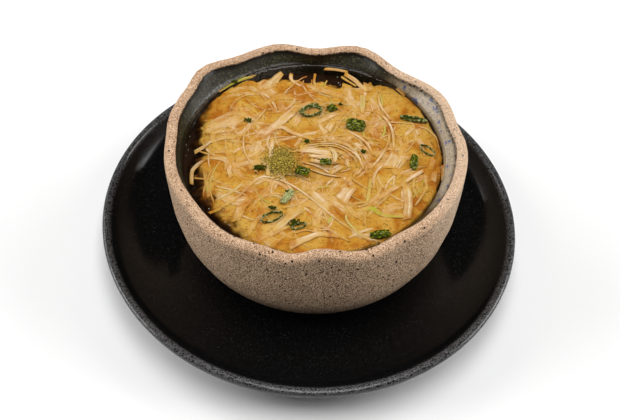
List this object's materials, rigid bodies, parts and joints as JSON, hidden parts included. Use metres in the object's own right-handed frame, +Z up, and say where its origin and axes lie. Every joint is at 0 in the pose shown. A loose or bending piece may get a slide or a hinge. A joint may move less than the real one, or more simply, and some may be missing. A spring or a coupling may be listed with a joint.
{
  "type": "bowl of miso soup on a plate",
  "caption": "Miso soup with shredded leek and cut scallion in a hand-made stoneware bowl with a pressed, wavy rim, standing on a black stoneware plate.",
  "frame": {"origin": "centre of the plate's foot, on the surface that it stands on", "axes": "+Z up; the front is at -Y and +X is to its right"},
  "size_m": [0.19, 0.1952, 0.065],
  "materials": {
    "black_glaze": "satin black glaze with fine speckle",
    "stoneware": "unglazed sandy stoneware with dark speckle, glazed inside",
    "broth": "wet, cloudy broth",
    "leek": "wet, pale and fibrous",
    "scallion": "wet green leaf"
  },
  "bodies": {
    "root": {"plate": "black_glaze", "bowl": "stoneware", "soup": "broth", "leek_nest": "leek", "leek_fan_back_left": "leek", "leek_strip_centre_left": "leek", "leek_strip_left": "leek", "leek_strip_left_low": "leek", "leek_loop_left": "leek", "leek_strip_front_left": "leek", "leek_strip_front": "leek", "leek_strip_centre": "leek", "leek_block_centre": "leek", "leek_strip_low": "leek", "leek_strip_right": "leek", "leek_block_right": "leek", "leek_piece_back": "leek", "leek_strip_back": "leek", "scallion_ring_back": "scallion", "scallion_arc_right": "scallion", "scallion_ring_right": "scallion", "scallion_ring_front": "scallion", "scallion_curl_front": "scallion", "scallion_leaf_back": "scallion", "scallion_leaf_back_right": "scallion", "scallion_leaf_right": "scallion", "scallion_leaf_centre": "scallion", "scallion_leaf_dark": "scallion", "scallion_leaf_front_right": "scallion", "scallion_leaf_pale": "scallion"}
  },
  "joints": []
}
